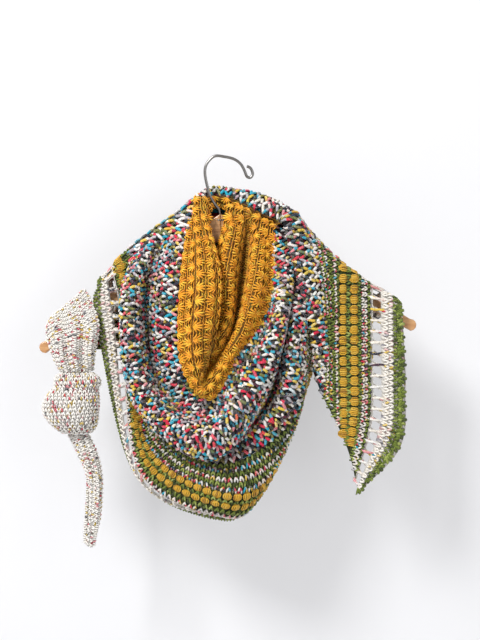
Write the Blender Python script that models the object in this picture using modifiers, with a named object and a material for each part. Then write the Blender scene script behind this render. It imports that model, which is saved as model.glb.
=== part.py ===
"""A crocheted triangular shawl wound round a wooden clothes hanger, as one rigid hanging part.

The cloth is modelled the way it hangs: each stretch is an open sheet lofted through its own fold
lines, which run with the crochet rows, and then given its thickness. Gold centre, mixed-yarn body,
striped border and lace edge are separate bands of the front drape, of the back wrap and of the wing.

Sizes are in millimetres in the tables and become metres in the mesh. A table point is
(across, drop, out): across to the viewer's right of the hook, drop below the place where the hook
hangs, and out towards the viewer from the hanger's own plane. The origin is that hanging place.
"""

import math

import bmesh
import bpy
import numpy as np
from mathutils import Vector

MM = 0.001

# Cloth
WALL = 2.0
SEAM = 0.9
RIM = 0.7

# Hanger: two flat wooden arms that meet at a centre seam, with a wire hook
WOOD_THICK = 12.0
WOOD_CENTRE = (-6.0, 66.0)
WOOD_REACH = 221.0
WOOD_FALL = 136.0
WOOD_BEND = 1.12
WOOD_DEEP = 30.0
WOOD_TIP = 14.0
WOOD_EDGE = 1.5
WOOD_TILT = math.radians(3.5)
WOOD_SEAM = 0.3
WIRE = 3.4

# How a fold line leaves an arm: out from its plane, down from the crest, and share of the way on
ARM_OUT = 11.5
WING_OUT = 17.0
ARM_DROP = 7.0
ARM_SHARE = 0.1
ARM_SLOPE = 0.3

# Lace: cut holes of the ladder row and the bars between them
LADDER_PITCH = 15.8
LADDER_HOLE = 9.6
WING_PITCH = 12.6
WING_HOLE = 8.6

# How finely the curves are followed
SAMPLES = 121
FINE_STEPS = 40
NUDGE = 0.01
ARM_STEPS = 8
TIP_STEPS = 5
KNOT_SIDES = 16

# Fold lines of the front drape, from the neck edge outwards. Columns: left shoulder, left chest,
# left side, foot, right side, right chest, right shoulder.
FRONT_ROWS = (
    ("neck edge", (-19, 61, 0.1), (-21, 140, 6), (-22, 176, 7), (-15, 200, 11),
     (-8, 170, 15), (-10, 118, 17), (2, 58, 1)),
    ("middle fold", (-21, 57, 0.1), (-27, 140, 14), (-29, 190, 16), (-16, 226, 23),
     (2, 190, 33), (4, 125, 40), (16, 60, 1)),
    ("middle crease", (-23, 54, 0.1), (-35, 140, 9), (-37, 202, 12), (-20, 242, 14),
     (8, 207, 18), (20, 137, 20), (28, 66, 1)),
    ("right fold", (-25, 51, 0.1), (-34, 140, 28), (-37, 214, 28), (-22, 255, 25),
     (15, 206, 42), (33, 149, 51), (39, 72, 1)),
    ("lobe edge", (-28, 49, 0.1), (-7, 140, 46), (-15, 216, 46), (-28, 262, 39),
     (19, 214, 36), (41, 158, 42), (46, 77, 1)),
    ("left lobe", (-32, 50, 0.1), (-27, 140, 60), (-36, 226, 57), (-24, 272, 47),
     (14, 221, 32), (47, 167, 36), (52, 81, 1)),
    ("body seam", (-38, 55, 0.1), (-52, 143, 45), (-51, 240, 42), (-17, 281, 37),
     (13, 235, 28), (51, 177, 34), (58, 85, 1)),
    ("inner lobe", (-46, 61, 0.1), (-69, 146, 43), (-65, 250, 33), (-17, 291, 32),
     (14, 250, 36), (55, 186, 42), (64, 89, 1)),
    ("long crease", (-58, 69, 0.1), (-91, 150, 22), (-79, 261, 23), (-18, 302, 41),
     (16, 264, 54), (57, 195, 52), (70, 93, 1)),
    ("roll", (-74, 80, 0.1), (-106, 156, 38), (-91, 273, 51), (-20, 322, 74),
     (25, 275, 66), (60, 202, 58), (76, 97, 1)),
    ("roll edge", (-90, 92, 0.1), (-119, 166, 26), (-103, 284, 36), (-20, 347, 57),
     (36, 287, 49), (64, 208, 55), (82, 101, 1)),
    ("pocket", (-99, 99, 0.1), (-114, 175, 17), (-98, 292, 23), (-16, 338, 36),
     (43, 293, 18), (67, 213, 41), (88, 105, 1)),
    ("right lobe", (-106, 104, 0.1), (-106, 182, 14), (-93, 300, 15), (-9, 347, 32),
     (63, 290, 46), (80, 215, 48), (94, 108, 1)),
    ("stripe seam", (-112, 109, 0.1), (-103, 190, 10), (-89, 309, 9), (-4, 356, 40),
     (78, 303, 30), (92, 222, 28), (100, 112, 1)),
    ("green stripes", (-117, 113, 0.1), (-105, 198, 5), (-87, 320, 4), (-2, 368, 46),
     (70, 334, 18), (97, 229, 13), (106, 117, 1)),
    ("puffs start", (-122, 118, 0.1), (-110, 199, 5), (-91, 335, 11), (-3, 386, 50),
     (56, 364, 22), (101, 233, 4), (112, 121, 1)),
    ("puffs end", (-127, 123, 0.1), (-115, 196, 7), (-97, 352, 18), (-8, 404, 43),
     (44, 388, 16), (104, 237, -4), (118, 124, 1)),
    ("ladder start", (-132, 128, 0.1), (-120, 192, 11), (-101, 362, 17), (-10, 414, 31),
     (38, 396, 4), (104, 240, -10), (124, 127, 1)),
    ("ladder end", (-139, 135, 0.1), (-131, 190, 13), (-103, 369, 8), (-8, 416, 17),
     (32, 393, -7), (103, 243, -15), (130, 131, 1)),
    ("edging start", (-144, 140, 0.1), (-142, 191, 12), (-104, 371, -1), (-4, 416, 8),
     (27, 388, -12), (101, 246, -19), (136, 134, 1)),
    ("edging", (-149, 145, 0.1), (-151, 192, 9), (-103, 373, -9), (2, 425, 1),
     (22, 381, -16), (99, 248, -22), (142, 138, 1)),
)

# Fold lines of the wrap that crosses behind the neck from the left shoulder to the right one, from
# its gold inner edge over the crown to the edging. Columns: left shoulder, behind left, behind the
# hook, behind right, right shoulder.
WRAP_ROWS = (
    ("neck edge", (-21, 57, -1), (-12, 58, -16), (8, 63, -20), (32, 73, -19), (54, 80, -8)),
    ("gold roll", (-27, 50, -1), (-13, 50, -14), (9, 55, -15), (37, 69, -8), (58, 79, 3)),
    ("body seam", (-33, 50, -1), (-14, 43, -13), (9, 47, -11), (43, 65, 2), (64, 77, 12)),
    ("crown", (-42, 57, -1), (-18, 36, -21), (10, 37, -21), (47, 46, -11), (79, 69, 6)),
    ("nape", (-58, 69, -1), (-42, 60, -28), (8, 54, -37), (68, 72, -24), (102, 95, -1)),
    ("stripe seam", (-112, 109, -1), (-72, 106, -32), (8, 106, -42), (92, 114, -28), (132, 121, -1)),
    ("puffs end", (-127, 123, -1), (-92, 142, -33), (9, 156, -43), (108, 148, -29), (154, 137, -1)),
    ("ladder start", (-132, 128, -1), (-106, 172, -32), (10, 194, -42), (124, 180, -29), (168, 147, -1)),
    ("edging start", (-144, 140, -1), (-114, 192, -30), (11, 220, -40), (132, 198, -28), (194, 162, -1)),
    ("edging", (-149, 145, -1), (-118, 204, -28), (12, 238, -38), (136, 212, -27), (205, 170, -1)),
)

# Fold lines of the right wing. Columns: shoulder, upper, middle, lower, end on the long edge.
WING_ROWS = (
    ("crease", (66, 76, 14), (84, 148, 37), (99, 198, 32), (102, 226, 22), (101, 246, 15)),
    ("roll side", (80, 69, 8), (99, 148, 33), (108, 198, 29), (109, 236, 22), (107, 263, 16)),
    ("green start", (102, 95, 0.1), (112, 156, 25), (115, 206, 23), (115, 250, 20), (114, 280, 16)),
    ("puffs start", (132, 121, 0.1), (132, 172, 16), (132, 222, 17), (133, 276, 17), (135, 322, 15)),
    ("puffs end", (154, 137, 0.1), (154, 182, 18), (154, 236, 20), (154, 296, 19), (146, 352, 15)),
    ("ladder start", (168, 147, 0.1), (168, 192, 14), (168, 246, 16), (167, 308, 16), (151, 374, 14)),
    ("ladder end", (184, 156, 0.1), (184, 200, 13), (185, 254, 14), (182, 318, 14), (155, 385, 13)),
    ("edging start", (194, 162, 0.1), (195, 206, 12), (195, 260, 13), (191, 326, 13), (155, 389, 12)),
    ("edging", (205, 170, 0.1), (208, 212, 10), (210, 268, 10), (204, 338, 10), (152, 394, 11)),
)

# Fold lines of the layer below the wrap, from the right shoulder across the back to the left end.
UNDER_ROWS = (
    ("upper edge", (8, 62, -1), (-6, 92, -14), (-54, 128, -15), (-108, 168, -15), (-163, 196, -13)),
    ("body", (58, 88, -1), (32, 120, -17), (-44, 150, -19), (-112, 186, -17), (-174, 206, -14)),
    ("stripes", (100, 112, -1), (58, 146, -17), (-36, 176, -19), (-114, 204, -17), (-186, 216, -14)),
    ("edging", (142, 138, -1), (84, 172, -16), (-28, 200, -17), (-116, 222, -16), (-200, 226, -13)),
)

# Fold lines of the tail above its knot. Columns: behind the arm, over the arm, upper, lower, knot.
TAIL_ROWS = (
    ("outer back", (-203, 222, -12), (-209, 197, 0), (-207, 212, 9), (-199, 232, 4), (-192, 250, 4)),
    ("outer edge", (-199, 219, -13), (-205, 190, 1), (-205, 208, 17), (-199, 234, 14), (-190, 251, 10)),
    ("outer pleat", (-194, 216, -13), (-199, 183, 1), (-196, 203, 26), (-191, 232, 28), (-184, 251, 24)),
    ("outer crease", (-189, 213, -13), (-192, 178, 1), (-186, 200, 20), (-183, 230, 21), (-178, 251, 20)),
    ("middle pleat", (-183, 209, -13), (-185, 172, 1), (-176, 197, 27), (-175, 228, 29), (-173, 251, 26)),
    ("inner crease", (-177, 205, -13), (-178, 166, 1), (-166, 195, 22), (-167, 227, 20), (-167, 251, 19)),
    ("inner pleat", (-171, 201, -13), (-171, 160, 1), (-156, 194, 26), (-158, 226, 22), (-160, 250, 18)),
    ("inner edge", (-166, 198, -13), (-165, 154, 1), (-147, 192, 19), (-152, 226, 12), (-155, 249, 8)),
)

# Fold lines of the tail below the knot. Columns: knot, upper, middle, lower, tip.
TAIL_END_ROWS = (
    ("outer edge", (-184, 323.2, 4), (-172, 346, 4), (-163, 370, 5), (-164, 410, 8), (-166, 450, 8)),
    ("outer flap", (-180, 323.2, 12), (-170, 347, 11), (-160, 372, 8), (-158, 410, 6), (-163, 452, 7)),
    ("outer pleat", (-174, 323.2, 19), (-164, 346, 20), (-157, 372, 17), (-155, 410, 14), (-160, 454, 11)),
    ("crease", (-168, 323.2, 15), (-159, 347, 16), (-153, 374, 15), (-152, 412, 13), (-158, 455, 10)),
    ("inner pleat", (-164, 323.2, 19), (-154, 346, 21), (-149, 374, 18), (-149, 412, 15), (-156, 455, 11)),
    ("inner edge", (-160, 323.2, 10), (-150, 345, 12), (-144, 374, 11), (-146, 414, 9), (-153, 454, 7)),
)

# The knot's rounded outline: drop, half width across, half depth, middle across, middle out.
KNOT_RINGS = (
    (251.4, 14, 9, -173, 13),
    (256, 23, 17, -173, 14),
    (263, 26, 21, -172, 15),
    (268, 24, 19, -173, 15),
    (274, 27, 21, -176, 15),
    (284, 31, 25, -179, 16),
    (296, 31, 26, -180, 16),
    (308, 27, 23, -177, 15),
    (317, 20, 17, -174, 13),
    (322.4, 13, 8, -172, 12),
)

# The hook's route: across and drop of the wire's centre line, from the wood to the tip.
HOOK_ROUTE = (
    (-6.4, 65.4),
    (-8, 60),
    (-13, 53.6),
    (-18.4, 43.6),
    (-23.2, 25),
    (-24, 13),
    (-20.5, 4.4),
    (-12.5, -2.4),
    (-1, -5.0 + WIRE),
    (10, 1.2),
    (18, 7.2),
    (22.4, 15.2),
    (25, 21.4),
    (29.2, 22.8),
    (31.9, 18.6),
    (29.6, 12.2),
    (25.2, 9.4),
)

COLOURS = {
    "gold": (0.78, 0.36, 0.03),
    "body": (0.45, 0.42, 0.40),
    "border": (0.30, 0.32, 0.07),
    "lace": (0.86, 0.80, 0.72),
    "wood": (0.62, 0.36, 0.16),
    "steel": (0.45, 0.45, 0.46),
}


def spline(points, place):
    """A smooth curve through the points; place counts from 0 at the first to n - 1 at the last."""
    points = np.asarray(points, float)
    last = len(points) - 1
    start = min(int(place), last - 1)
    part = place - start
    a = points[start]
    b = points[start + 1]
    before = points[start - 1] if start > 0 else 2.0 * a - b
    after = points[start + 2] if start + 2 <= last else 2.0 * b - a
    pull_a = 0.5 * (b - before)
    pull_b = 0.5 * (after - a)
    square = part * part
    cube = square * part
    return (
        (2.0 * cube - 3.0 * square + 1.0) * a
        + (cube - 2.0 * square + part) * pull_a
        + (3.0 * square - 2.0 * cube) * b
        + (cube - square) * pull_b
    )


def over_arm(crest, below, out):
    """The place where a fold line that lies over an arm leaves it, so far out or behind."""
    across = crest[0] + ARM_SHARE * (below[0] - crest[0])
    drop = crest[1] + min(ARM_DROP, ARM_SLOPE * (below[1] - crest[1]))
    return (across, drop, crest[2] + out)


class Drape:
    """A smooth sheet through a table of fold lines, with the bends over the arms put in."""

    def __init__(self, rows, start_out=0.0, end_out=0.0):
        self.names = [row[0] for row in rows]
        lines = []
        for row in rows:
            line = list(row[1:])
            if end_out:
                line.insert(-1, over_arm(line[-1], line[-2], end_out))
            if start_out:
                line.insert(1, over_arm(line[0], line[1], start_out))
            lines.append(line)
        self.net = np.array(lines, float)

    def line(self, name):
        return float(self.names.index(name))

    def point(self, line, place):
        return spline([spline(row, place) for row in self.net], line)

    def stops(self, line, count, start=0.0, end=None):
        """Places along a line, count equal steps apart by length."""
        end = self.net.shape[1] - 1 if end is None else end
        places = np.linspace(start, end, SAMPLES)
        points = np.array([self.point(line, place) for place in places])
        steps = np.linalg.norm(np.diff(points, axis=0), axis=1)
        run = np.concatenate([[0.0], np.cumsum(steps)])
        return np.interp(np.linspace(0.0, run[-1], count + 1), run, places)

    def length(self, line):
        places = np.linspace(0.0, self.net.shape[1] - 1, SAMPLES)
        points = np.array([self.point(line, place) for place in places])
        return float(np.linalg.norm(np.diff(points, axis=0), axis=1).sum())


def to_world(point):
    """Table millimetres to metres: across, out towards the viewer, drop."""
    across, drop, out = point
    return Vector((across * MM, -out * MM, -drop * MM))


def material(name):
    made = bpy.data.materials.new(name)
    made.use_nodes = True
    shader = made.node_tree.nodes["Principled BSDF"]
    shader.inputs["Base Color"].default_value = (*COLOURS[name], 1.0)
    shader.inputs["Metallic"].default_value = 1.0 if name == "steel" else 0.0
    shader.inputs["Roughness"].default_value = {"steel": 0.35, "wood": 0.5}.get(name, 0.85)
    return made


def add_object(name, data, look, group):
    made = bpy.data.objects.new(name, data)
    data.materials.append(look)
    group.objects.link(made)
    return made


def cloth(name, grid, look, group, holes=()):
    """An open sheet on a grid of points, without the cells in holes, given its thickness."""
    lines, places, _ = grid.shape
    mesh = bmesh.new()
    points = [[mesh.verts.new(to_world(point)) for point in line] for line in grid]
    for line in range(lines - 1):
        for place in range(places - 1):
            if (line, place) in holes:
                continue
            mesh.faces.new((
                points[line][place],
                points[line + 1][place],
                points[line + 1][place + 1],
                points[line][place + 1],
            ))
    data = bpy.data.meshes.new(name)
    mesh.to_mesh(data)
    mesh.free()
    data.shade_smooth()
    made = add_object(name, data, look, group)
    wall = made.modifiers.new("Wall", "SOLIDIFY")
    wall.thickness = WALL * MM
    wall.offset = 0.0
    wall.use_even_offset = False
    return made


def seam_lines(drape, line, place, way):
    """Two lines beside a seam line: the rim, half a gap off it, and a narrow step further in.

    The narrow step keeps the two rims of a seam square to each other where the cloth bends there.
    """
    here = drape.point(line, place)
    across = (drape.point(line + NUDGE * way, place) - here) / NUDGE
    back = NUDGE if place > 1.0 else -NUDGE
    along = here - drape.point(line, place - back)
    along /= np.linalg.norm(along)
    speed = np.linalg.norm(across - across.dot(along) * along)
    return line + way * 0.5 * SEAM / speed, line + way * (0.5 * SEAM + RIM) / speed


def plain_grid(drape, first, last, across, along, middle):
    """Grid of a band between two lines, with equal steps along the line called middle."""
    start = drape.line(first)
    end = drape.line(last)
    inside = list(np.linspace(start, end, across + 1)[1:-1])
    columns = []
    for place in drape.stops(drape.line(middle), along):
        rim, step = seam_lines(drape, start, place, 1)
        far_rim, far_step = seam_lines(drape, end, place, -1)
        lines = [rim, step, *inside, far_step, far_rim]
        columns.append([drape.point(line, place) for line in lines])
    return np.array(columns).transpose(1, 0, 2)


def lace_grid(drape, stops, pitch, hole):
    """Grid and hole cells of a band with a ladder row; the holes lie between the first two stops."""
    middle = 0.5 * (stops[1] + stops[2])
    length = drape.length(middle)
    count = int(length // pitch)
    fine = drape.stops(middle, count * FINE_STEPS)
    share = int(round(FINE_STEPS * 0.5 * (1.0 - hole / pitch)))
    picks = [0]
    for number in range(count):
        picks += [number * FINE_STEPS + share, (number + 1) * FINE_STEPS - share]
    picks.append(count * FINE_STEPS)
    places = fine[picks]
    columns = []
    for place in places:
        rim, step = seam_lines(drape, stops[0], place, 1)
        lines = [rim, max(stops[1], step), *stops[2:]]
        columns.append([drape.point(line, place) for line in lines])
    return np.array(columns).transpose(1, 0, 2), {(1, 2 * number + 1) for number in range(count)}


def front_drape(group, looks):
    drape = Drape(FRONT_ROWS, ARM_OUT, ARM_OUT)
    gold = plain_grid(drape, "neck edge", "body seam", 12, 42, "roll")
    cloth("front_gold", gold, looks["gold"], group)
    body = plain_grid(drape, "body seam", "stripe seam", 14, 42, "roll")
    cloth("front_body", body, looks["body"], group)
    stripes = plain_grid(drape, "stripe seam", "ladder start", 6, 42, "roll")
    cloth("front_stripes", stripes, looks["border"], group)
    inner = drape.line("ladder start")
    outer = drape.line("ladder end")
    stops = [inner, inner + 0.14, outer - 0.1, drape.line("edging start"), drape.line("edging")]
    grid, holes = lace_grid(drape, stops, LADDER_PITCH, LADDER_HOLE)
    cloth("front_lace", grid, looks["lace"], group, holes)


def back_wrap(group, looks):
    drape = Drape(WRAP_ROWS, -ARM_OUT, -ARM_OUT)
    gold = plain_grid(drape, "neck edge", "body seam", 3, 18, "body seam")
    cloth("wrap_gold", gold, looks["gold"], group)
    body = plain_grid(drape, "body seam", "stripe seam", 4, 18, "body seam")
    cloth("wrap_body", body, looks["body"], group)
    stripes = plain_grid(drape, "stripe seam", "ladder start", 2, 18, "body seam")
    cloth("wrap_stripes", stripes, looks["border"], group)
    inner = drape.line("ladder start")
    outer = drape.line("edging start")
    stops = [inner, inner + 0.1, inner + 0.5, outer, drape.line("edging")]
    grid, holes = lace_grid(drape, stops, LADDER_PITCH, LADDER_HOLE)
    cloth("wrap_lace", grid, looks["lace"], group, holes)


def right_wing(group, looks):
    drape = Drape(WING_ROWS, WING_OUT)
    body = plain_grid(drape, "crease", "green start", 3, 20, "green start")
    cloth("wing_body", body, looks["body"], group)
    stripes = plain_grid(drape, "green start", "ladder start", 6, 20, "green start")
    cloth("wing_stripes", stripes, looks["border"], group)
    inner = drape.line("ladder start")
    outer = drape.line("ladder end")
    stops = [inner, inner + 0.22, outer - 0.22, drape.line("edging start"), drape.line("edging")]
    grid, holes = lace_grid(drape, stops, WING_PITCH, WING_HOLE)
    cloth("wing_lace", grid, looks["lace"], group, holes)


def under_layer(group, looks):
    drape = Drape(UNDER_ROWS, -ARM_OUT)
    layer = plain_grid(drape, "upper edge", "edging", 3, 24, "body")
    cloth("under_layer", layer, looks["body"], group)


def tail(group, looks):
    upper = Drape(TAIL_ROWS)
    above = plain_grid(upper, "outer back", "inner edge", 12, 12, "middle pleat")
    cloth("tail_upper", above, looks["lace"], group)
    lower = Drape(TAIL_END_ROWS)
    below = plain_grid(lower, "outer edge", "inner edge", 8, 10, "crease")
    cloth("tail_lower", below, looks["lace"], group)
    knot(group, looks)


def knot(group, looks):
    """The tied knot: one rounded solid of stacked oval rings."""
    mesh = bmesh.new()
    rings = []
    for drop, wide, deep, across, out in KNOT_RINGS:
        ring = []
        for side in range(KNOT_SIDES):
            turn = math.tau * side / KNOT_SIDES
            point = (across + wide * math.cos(turn), drop, out + deep * math.sin(turn))
            ring.append(mesh.verts.new(to_world(point)))
        rings.append(ring)
    for upper, lower in zip(rings, rings[1:]):
        for side in range(KNOT_SIDES):
            after = (side + 1) % KNOT_SIDES
            mesh.faces.new((upper[side], upper[after], lower[after], lower[side]))
    mesh.faces.new(rings[0])
    mesh.faces.new(rings[-1])
    bmesh.ops.recalc_face_normals(mesh, faces=mesh.faces)
    data = bpy.data.meshes.new("knot")
    mesh.to_mesh(data)
    mesh.free()
    data.shade_smooth()
    add_object("knot", data, looks["lace"], group)


def arm_outline():
    """One arm's outline in its own plane: out along the top from the seam, round the tip, back."""
    top = []
    bottom = []
    for step in range(ARM_STEPS + 1):
        share = step / ARM_STEPS
        reach = 0.5 * WOOD_SEAM + share * (WOOD_REACH - 0.5 * WOOD_TIP)
        fall = WOOD_FALL * share ** WOOD_BEND
        deep = WOOD_DEEP + (WOOD_TIP - WOOD_DEEP) * share
        top.append((reach, -fall))
        bottom.append((reach, -fall - deep))
    centre = Vector((top[-1][0], top[-1][1] - 0.5 * WOOD_TIP))
    tip = []
    for step in range(1, TIP_STEPS + 1):
        turn = math.pi * (0.5 - step / (TIP_STEPS + 1.0))
        across = centre.x + 0.5 * WOOD_TIP * math.cos(turn)
        tip.append((across, centre.y + 0.5 * WOOD_TIP * math.sin(turn)))
    return top + tip + bottom[::-1]


def hanger_arm(name, side, look, group):
    """A flat wooden arm with softened edges, on one side of the centre seam."""
    data = bpy.data.curves.new(name, "CURVE")
    data.dimensions = "2D"
    data.fill_mode = "BOTH"
    data.extrude = (0.5 * WOOD_THICK - WOOD_EDGE) * MM
    data.bevel_depth = WOOD_EDGE * MM
    data.bevel_resolution = 1
    data.offset = -WOOD_EDGE * MM
    outline = arm_outline()
    path = data.splines.new("POLY")
    path.points.add(len(outline) - 1)
    for knot_point, (across, up) in zip(path.points, outline):
        knot_point.co = (side * across * MM, up * MM, 0.0, 1.0)
    path.use_cyclic_u = True
    made = add_object(name, data, look, group)
    made.rotation_euler = (math.radians(90.0), -WOOD_TILT, 0.0)
    made.location = to_world((WOOD_CENTRE[0], WOOD_CENTRE[1], 0.0))
    return made


def hook(look, group):
    """The bent wire hook, on a smooth curve through its route."""
    data = bpy.data.curves.new("hook", "CURVE")
    data.dimensions = "3D"
    data.bevel_depth = 0.5 * WIRE * MM
    data.bevel_resolution = 2
    data.use_fill_caps = True
    steps = 2 * (len(HOOK_ROUTE) - 1)
    path = data.splines.new("POLY")
    path.points.add(steps)
    for number, knot_point in enumerate(path.points):
        across, drop = spline(HOOK_ROUTE, 0.5 * number)
        knot_point.co = (*to_world((across, drop, 0.0)), 1.0)
    return add_object("hook", data, look, group)


def clear_scene():
    for item in list(bpy.data.objects):
        bpy.data.objects.remove(item, do_unlink=True)


def main():
    clear_scene()
    group = bpy.data.collections.new("shawl_on_clothes_hanger")
    bpy.context.scene.collection.children.link(group)
    looks = {name: material(name) for name in COLOURS}
    hanger_arm("hanger_left_arm", -1, looks["wood"], group)
    hanger_arm("hanger_right_arm", 1, looks["wood"], group)
    hook(looks["steel"], group)
    front_drape(group, looks)
    back_wrap(group, looks)
    right_wing(group, looks)
    under_layer(group, looks)
    tail(group, looks)


main()
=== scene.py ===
"""Looks of a crocheted triangular shawl wound round a wooden clothes hanger.

Each stretch of cloth is a thin backing sheet on its solid's own form, in a darkened copy of its
yarn's colours that is painted shade between the loops, and the crochet lies on it as loops of yarn:
V stitches, stars, puffs, ladder bars and scallops, set out along the rows by length. The loops carry
painted light and shade round each strand and painted shade in the front's creases. Table points are
(across, drop, out) in millimetres, as in the part: across to the viewer's right, drop below the
hanging place, out towards the viewer.
"""

import math

import bmesh
import bpy
import numpy as np
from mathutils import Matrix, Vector

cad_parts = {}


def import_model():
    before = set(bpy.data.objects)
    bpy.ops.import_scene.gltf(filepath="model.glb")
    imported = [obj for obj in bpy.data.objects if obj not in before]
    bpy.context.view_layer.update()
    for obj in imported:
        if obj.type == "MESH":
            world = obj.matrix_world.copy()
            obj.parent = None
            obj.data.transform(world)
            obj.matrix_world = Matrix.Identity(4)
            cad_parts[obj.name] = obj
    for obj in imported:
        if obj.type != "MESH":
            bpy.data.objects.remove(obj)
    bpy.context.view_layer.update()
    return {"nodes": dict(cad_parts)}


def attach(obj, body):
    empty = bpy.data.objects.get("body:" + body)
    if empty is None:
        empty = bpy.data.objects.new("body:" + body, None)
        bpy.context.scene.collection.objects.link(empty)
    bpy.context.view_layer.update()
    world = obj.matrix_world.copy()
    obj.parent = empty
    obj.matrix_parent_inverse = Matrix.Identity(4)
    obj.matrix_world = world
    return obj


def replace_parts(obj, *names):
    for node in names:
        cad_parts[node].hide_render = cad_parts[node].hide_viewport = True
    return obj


MM = 0.001

# Cloth: backing thickness, the gap at a seam, and how a fold line leaves an arm
BACKING = 1.2
SEAM = 0.4
ARM_OUT = 11.5
WING_OUT = 17.0
ARM_DROP = 7.0
ARM_SHARE = 0.1
ARM_SLOPE = 0.3

# Ladder row: cut holes and the bars between them
LADDER_PITCH = 15.8
LADDER_HOLE = 9.6
WING_PITCH = 12.6
WING_HOLE = 8.6
FINE_STEPS = 40
CELLS_IN_PITCH = 2.5
LACE_ROWS = 6.0

# Rows of stitches: the share of its height at which a row is crowded out, how far a row may be
# squeezed or stretched, how close to an end a stitch may lie, and how unevenly stitches turn
CROWDED = 0.62
SQUEEZED = 0.75
STRETCHED = 1.3
ROW_END = 0.3
ROW_REACH = 0.4
WOBBLE = 0.10
LOOSE_WOBBLE = 0.16
KNOT_WOBBLE = 0.20

# Stitches: width along the row, height across it, thickness
SIZES = {
    "vee": (9.8, 8.0, 9.2),
    "star": (14.6, 11.4, 12.5),
    "small": (6.6, 5.0, 6.4),
    "fine": (5.2, 4.3, 5.2),
    "puff": (12.0, 10.5, 9.0),
    "chain": (6.0, 3.2, 5.0),
    "bar": (4.6, 13.0, 4.8),
    "scallop": (15.6, 8.5, 7.5),
}

# The border's rows: kind, yarn, share of its width, rows of that height in it, shift along
BORDER = (
    ("puff", "mustard", 0.21, 2.4, 0.0),
    ("small", "green", 0.5, 4.6, 0.0),
    ("puff", "mustard", 0.79, 2.4, 0.3),
)

# Thickness of the hook's wire and of the fastener
WIRE = 3.4
FASTENER = 1.0

# Points round the knot, and rings down it
KNOT_SIDES = 24
KNOT_CORNERS = 48
KNOT_STEPS = 27

# Fold lines of the front drape, from the neck edge outwards. Columns: left shoulder, left chest,
# left side, foot, right side, right chest, right shoulder.
FRONT_ROWS = (
    ("neck edge", (-19, 61, 0.1), (-21, 140, 6), (-22, 176, 7), (-15, 200, 11),
     (-8, 170, 15), (-10, 118, 17), (2, 58, 1)),
    ("middle fold", (-21, 57, 0.1), (-27, 140, 14), (-29, 190, 16), (-16, 226, 23),
     (2, 190, 33), (4, 125, 40), (16, 60, 1)),
    ("middle crease", (-23, 54, 0.1), (-35, 140, 9), (-37, 202, 12), (-20, 242, 14),
     (8, 207, 18), (20, 137, 20), (28, 66, 1)),
    ("right fold", (-25, 51, 0.1), (-34, 140, 28), (-37, 214, 28), (-22, 255, 25),
     (15, 206, 42), (33, 149, 51), (39, 72, 1)),
    ("lobe edge", (-28, 49, 0.1), (-7, 140, 46), (-15, 216, 46), (-28, 262, 39),
     (19, 214, 36), (41, 158, 42), (46, 77, 1)),
    ("left lobe", (-32, 50, 0.1), (-27, 140, 60), (-36, 226, 57), (-24, 272, 47),
     (14, 221, 32), (47, 167, 36), (52, 81, 1)),
    ("body seam", (-38, 55, 0.1), (-52, 143, 45), (-51, 240, 42), (-17, 281, 37),
     (13, 235, 28), (51, 177, 34), (58, 85, 1)),
    ("inner lobe", (-46, 61, 0.1), (-69, 146, 43), (-65, 250, 33), (-17, 291, 32),
     (14, 250, 36), (55, 186, 42), (64, 89, 1)),
    ("long crease", (-58, 69, 0.1), (-91, 150, 22), (-79, 261, 23), (-18, 302, 41),
     (16, 264, 54), (57, 195, 52), (70, 93, 1)),
    ("roll", (-74, 80, 0.1), (-106, 156, 38), (-91, 273, 51), (-20, 322, 74),
     (25, 275, 66), (60, 202, 58), (76, 97, 1)),
    ("roll edge", (-90, 92, 0.1), (-119, 166, 26), (-103, 284, 36), (-20, 347, 57),
     (36, 287, 49), (64, 208, 55), (82, 101, 1)),
    ("pocket", (-99, 99, 0.1), (-114, 175, 17), (-98, 292, 23), (-16, 338, 36),
     (43, 293, 18), (67, 213, 41), (88, 105, 1)),
    ("right lobe", (-106, 104, 0.1), (-106, 182, 14), (-93, 300, 15), (-9, 347, 32),
     (63, 290, 46), (80, 215, 48), (94, 108, 1)),
    ("stripe seam", (-112, 109, 0.1), (-103, 190, 10), (-89, 309, 9), (-4, 356, 40),
     (78, 303, 30), (92, 222, 28), (100, 112, 1)),
    ("green stripes", (-117, 113, 0.1), (-105, 198, 5), (-87, 320, 4), (-2, 368, 46),
     (70, 334, 18), (97, 229, 13), (106, 117, 1)),
    ("puffs start", (-122, 118, 0.1), (-110, 199, 5), (-91, 335, 11), (-3, 386, 50),
     (56, 364, 22), (101, 233, 4), (112, 121, 1)),
    ("puffs end", (-127, 123, 0.1), (-115, 196, 7), (-97, 352, 18), (-8, 404, 43),
     (44, 388, 16), (104, 237, -4), (118, 124, 1)),
    ("ladder start", (-132, 128, 0.1), (-120, 192, 11), (-101, 362, 17), (-10, 414, 31),
     (38, 396, 4), (104, 240, -10), (124, 127, 1)),
    ("ladder end", (-139, 135, 0.1), (-131, 190, 13), (-103, 369, 8), (-8, 416, 17),
     (32, 393, -7), (103, 243, -15), (130, 131, 1)),
    ("edging start", (-144, 140, 0.1), (-142, 191, 12), (-104, 371, -1), (-4, 416, 8),
     (27, 388, -12), (101, 246, -19), (136, 134, 1)),
    ("edging", (-149, 145, 0.1), (-151, 192, 9), (-103, 373, -9), (2, 425, 1),
     (22, 381, -16), (99, 248, -22), (142, 138, 1)),
)

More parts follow.
